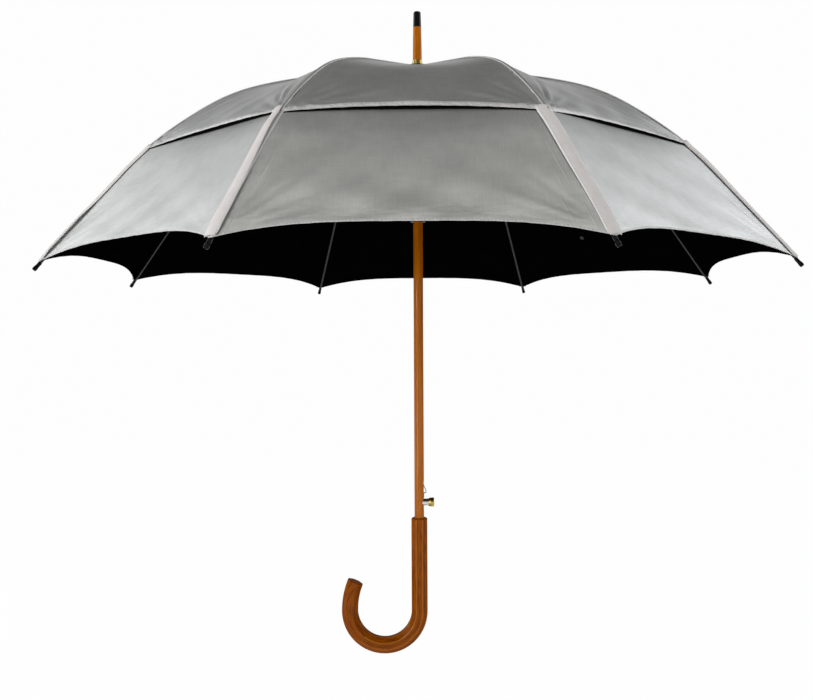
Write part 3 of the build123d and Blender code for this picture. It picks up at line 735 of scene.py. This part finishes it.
def tie_place(across, down, lift):
    """A place on the hidden side of the panel, midway between its ribs."""
    distance = TIE_FOOT - TIE_LENGTH * (1 - down)
    share = TIE_SHARE + across * TIE_WIDTH / (2 * rib_line(distance)[0] * sin(HALF))
    first, second = (on_rib(k, distance, CLOTH_LIFT - lift) for k in (TIE_PANEL, TIE_PANEL + 1))
    return first.lerp(second, share) - outward(TIE_PANEL, share, distance) * lower_sag(distance)


band = grid("tie_band", (8, 24))
spots = [tie_place(v.co.x - 0.5, v.co.y, 0.0030 + 0.0012 * sin(v.co.y * 5)) for v in band.data.vertices]
cut = [((v.co.x - 0.5) * TIE_WIDTH, v.co.y * TIE_LENGTH) for v in band.data.vertices]
for vert in band.data.vertices:
    vert.co.x = 0.5
span_ribs(band)
place(band, spots, cut)
lay_thickness(band, 0.0012, LINING)

shape = bmesh.new()
bmesh.ops.create_uvsphere(shape, u_segments=24, v_segments=12, radius=STUD_RADIUS)
stud = build("tie_stud", shape)
stud.data.materials.append(RIB_STEEL)
knob = [v.co.copy() for v in stud.data.vertices]
for vert in stud.data.vertices:
    vert.co = (0.5, 0, 0)
span_ribs(stud)
seat = tie_place(0, 0.86, 0.0052)
axis = -outward(TIE_PANEL, 0.5, TIE_FOOT)
spin = axis.to_track_quat("Z", "Y")
for vert, spot in zip(stud.data.vertices, knob):
    out = hypot(spot.x, spot.y)
    height = spot.z * STUD_FLATNESS
    if spot.z > 0:                # a rim round a dimple
        height += 0.0005 * exp(-(((out - 0.0032) / 0.0006) ** 2)) - 0.0011 * exp(-((out / 0.0017) ** 2))
    vert.co = seat + spin @ Vector((spot.x, spot.y, height))
for face in stud.data.polygons:
    face.use_smooth = True

# ------------------------------------------------------------------ opening spring
coil = bpy.data.objects.new("spring_coil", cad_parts["opening_spring"].data.copy())
bpy.context.scene.collection.objects.link(coil)
shape = bmesh.new()
shape.from_mesh(coil.data)
bmesh.ops.remove_doubles(shape, verts=shape.verts, dist=1e-6)
shape.to_mesh(coil.data)
shape.free()
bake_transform(coil)
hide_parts("opening_spring")

# ------------------------------------------------------------------ camera, lamps and floor
scene = bpy.context.scene
scene.view_settings.view_transform = "Standard"
lens = bpy.data.cameras.new("camera")
lens.lens = 43.27
lens.shift_x = -0.0148
lens.shift_y = -0.0142
camera = bpy.data.objects.new("camera", lens)
scene.collection.objects.link(camera)
scene.camera = camera
CAMERA_AWAY, CAMERA_HEIGHT = 1.5414, 0.3584
CAMERA_TURN, CAMERA_ROLL = 0.0123, radians(0.26)
camera.location = (CAMERA_AWAY * sin(CAMERA_TURN), -CAMERA_AWAY * cos(CAMERA_TURN), CAMERA_HEIGHT)
camera.rotation_euler = (pi / 2, CAMERA_ROLL, CAMERA_TURN)


def lamp(name, place, target, size, power, colour=(1, 1, 1)):
    data = bpy.data.lights.new(name, "AREA")
    data.shape = "RECTANGLE"
    data.size, data.size_y = size
    data.energy = power
    data.color = colour
    holder = bpy.data.objects.new(name, data)
    holder.location = place
    holder.rotation_euler = (Vector(target) - Vector(place)).to_track_quat("-Z", "Y").to_euler()
    scene.collection.objects.link(holder)


lamp("softbox_left", (-2.4, 0.3, 1.7), (0, 0, 0.5), (1.8, 2.4), 28, (0.96, 0.985, 1.0))
lamp("softbox_right", (2.4, 0.3, 1.7), (0, 0, 0.5), (1.8, 2.4), 30, (0.95, 0.98, 1.0))
lamp("front_bank", (0, -1.15, 2.4), (0, -0.5, 0.5), (2.4, 0.4), 8, (1.0, 1.0, 0.93))
lamp("strip_left", (-1.5, -2.1, 0.45), (0, 0, 0.3), (0.2, 1.7), 24)
lamp("strip_right", (2.1, -1.2, 0.6), (0, 0, 0.4), (0.2, 1.5), 5)
lamp("front_fill", (0.3, -3.2, 0.4), (0, 0, 0.2), (1.6, 1.6), 5)

world = bpy.data.worlds.new("studio")
scene.world = world
world.use_nodes = True
world.node_tree.nodes["Background"].inputs["Color"].default_value = (1, 1, 1, 1)
world.node_tree.nodes["Background"].inputs["Strength"].default_value = 0.15

# One pale sweep is both floor and backdrop; it is plain white wherever it is seen or mirrored.
white = Finish("pale sweep", Base_Color=(0.86, 0.86, 0.86, 1), Roughness=0.9)
glow = white.node("Emission", Color=(1, 1, 1, 1), Strength=1.0)
rays = white.node("LightPath").outputs
seen = Amount(white.tree, rays["Is Camera Ray"]) + rays["Is Glossy Ray"] + rays["Is Transmission Ray"]
blend = white.node("MixShader", i0=seen * 0.985)
for socket, shader in zip(list(blend.inputs)[1:], (white.shader, glow)):
    white.tree.links.new(shader.outputs[0], socket)
white.tree.links.new(blend.outputs[0], white.output.inputs["Surface"])

FLOOR, FRONT, BACK, TOP, HALF_WIDTH = -0.30, -9.0, 9.0, 6.6, 20.0
SWEEP, SWEEP_STEPS = 3.6, 20
profile = [(FRONT, FLOOR), (BACK - SWEEP, FLOOR)]
for step in range(1, SWEEP_STEPS + 1):
    rise = step * pi / (2 * SWEEP_STEPS)
    profile.append((BACK - SWEEP + SWEEP * sin(rise), FLOOR + SWEEP * (1 - cos(rise))))
profile.append((BACK, TOP))
shape = bmesh.new()
rows = [[shape.verts.new((side, y, z)) for side in (-HALF_WIDTH, HALF_WIDTH)] for y, z in profile]
for near, far in zip(rows, rows[1:]):
    shape.faces.new((near[0], near[1], far[1], far[0])).smooth = True
sweep = build("sweep", shape)
sweep.data.materials.append(white.material)
